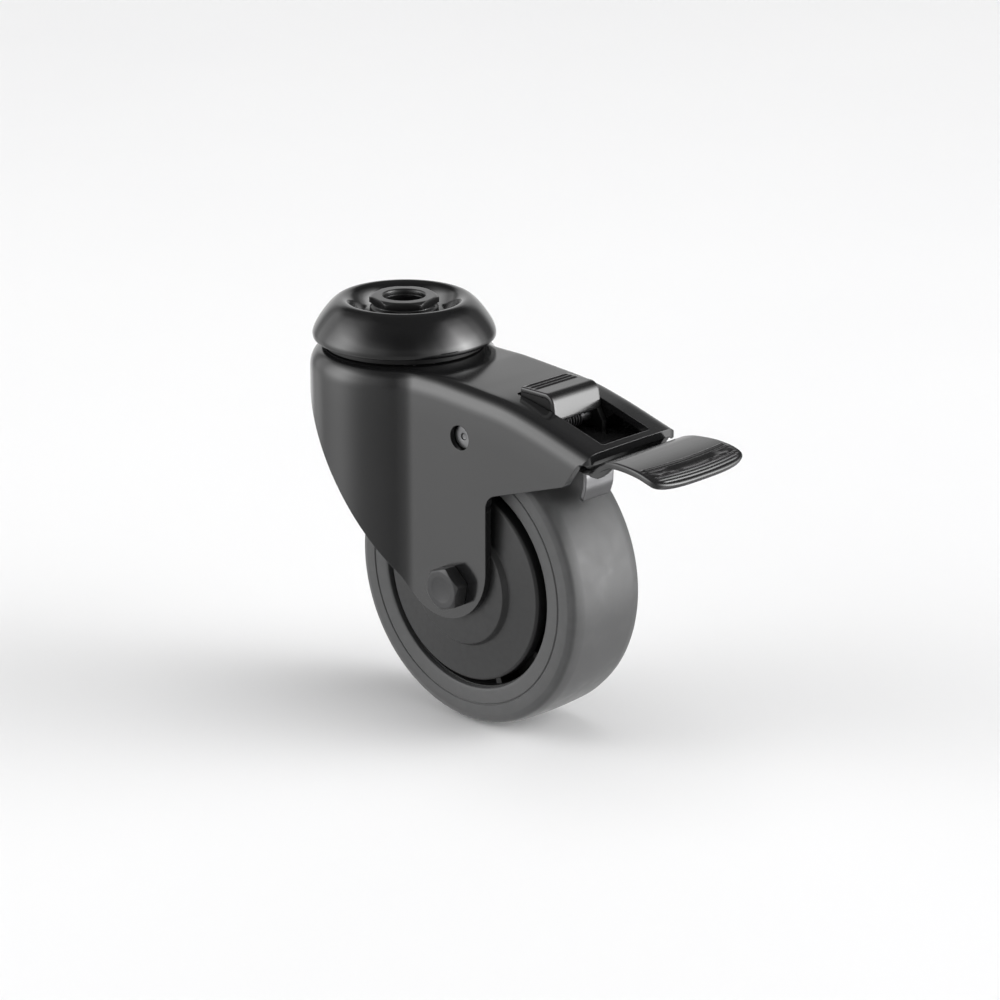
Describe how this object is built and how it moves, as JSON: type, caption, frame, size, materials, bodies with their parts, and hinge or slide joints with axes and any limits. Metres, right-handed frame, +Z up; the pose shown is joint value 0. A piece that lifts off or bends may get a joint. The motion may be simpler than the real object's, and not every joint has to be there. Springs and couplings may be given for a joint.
{
  "type": "braked swivel castor",
  "caption": "Swivel castor with bolt-hole fitting, pressed steel fork, grey rubber-tyred ball-bearing wheel, rear pedal brake and top release tab.",
  "frame": {"origin": "centre of the bolt hole on the top mounting face of the swivel bush", "axes": "+Z up along the swivel axis, out of the mounting face; +X from the swivel axis towards the trailing wheel and the brake pedal; Y along the wheel axle, with the bolt head on the -Y side"},
  "size_m": [0.1238, 0.0481, 0.1022],
  "materials": {
    "bush_paint": "gloss black paint on turned steel",
    "cap_paint": "high gloss black paint on pressed steel",
    "fork_paint": "gloss dark grey paint on pressed steel",
    "lever_paint": "semi-gloss dark paint on sheet steel",
    "dark_fastener": "dark passivated steel, satin",
    "zinc_steel": "bright zinc plate, satin",
    "spring_steel": "drawn spring wire",
    "bearing_steel": "ground and polished bearing steel",
    "cage_steel": "pressed steel",
    "guard_plastic": "satin moulded plastic",
    "rim_plastic": "moulded plastic",
    "tread_rubber": "smooth grey tread rubber"
  },
  "bodies": {
    "mount": {"king_bush": "bush_paint", "dust_cap": "cap_paint", "upper_race": "cap_paint", "race_spacer": "bearing_steel", "lower_race": "bearing_steel", "swivel_lock_crown": "zinc_steel"},
    "upper_ball_ring": {"upper_swivel_balls": "bearing_steel"},
    "lower_ball_ring": {"lower_swivel_balls": "bearing_steel"},
    "fork": {"fork_housing": "fork_paint", "axle_bolt": "dark_fastener", "axle_nut": "dark_fastener", "axle_sleeve": "zinc_steel", "thread_guard_near": "guard_plastic", "thread_guard_far": "guard_plastic", "bearing_inner_rings": "bearing_steel", "latch_pin": "zinc_steel"},
    "wheel": {"tyre": "tread_rubber", "wheel_rim": "rim_plastic", "bearing_outer_rings": "bearing_steel", "bearing_shields": "bearing_steel"},
    "wheel_ball_ring": {"bearing_balls": "bearing_steel", "bearing_cages": "cage_steel"},
    "brake": {"brake_lever": "lever_paint", "brake_shoe_spring": "zinc_steel", "shoe_rivets": "zinc_steel", "lever_spring": "spring_steel"},
    "release": {"release_tab": "lever_paint", "latch_spring": "spring_steel"}
  },
  "joints": [
    {"name": "swivel", "type": "hinge", "parent": "mount", "child": "fork", "pos_m": [0, 0, -0.0126], "axis": [0, 0, 1], "continuous": true},
    {"name": "upper_ball_roll", "type": "hinge", "parent": "mount", "child": "upper_ball_ring", "pos_m": [0, 0, -0.0112], "axis": [0, 0, 1], "continuous": true},
    {"name": "lower_ball_roll", "type": "hinge", "parent": "mount", "child": "lower_ball_ring", "pos_m": [0, 0, -0.01575], "axis": [0, 0, 1], "continuous": true},
    {"name": "wheel_spin", "type": "hinge", "parent": "fork", "child": "wheel", "pos_m": [0.033, 0, -0.0647], "axis": [0, 1, 0], "continuous": true},
    {"name": "wheel_ball_roll", "type": "hinge", "parent": "fork", "child": "wheel_ball_ring", "pos_m": [0.033, 0, -0.0647], "axis": [0, 1, 0], "continuous": true},
    {"name": "brake_pedal", "type": "hinge", "parent": "fork", "child": "brake", "pos_m": [0.03575, 0, -0.0257], "axis": [0, 1, 0], "range_deg": [0, 8.1], "deforming": ["lever_spring"]},
    {"name": "release_press", "type": "hinge", "parent": "fork", "child": "release", "pos_m": [0.0562, 0, -0.0202], "axis": [0, -1, 0], "range_deg": [0, 6], "deforming": ["latch_spring"]}
  ],
  "couplings": [
    {"joint": "upper_ball_roll", "follows": "swivel", "ratio": 0.5},
    {"joint": "lower_ball_roll", "follows": "swivel", "ratio": 0.5},
    {"joint": "wheel_ball_roll", "follows": "wheel_spin", "ratio": 0.632}
  ]
}
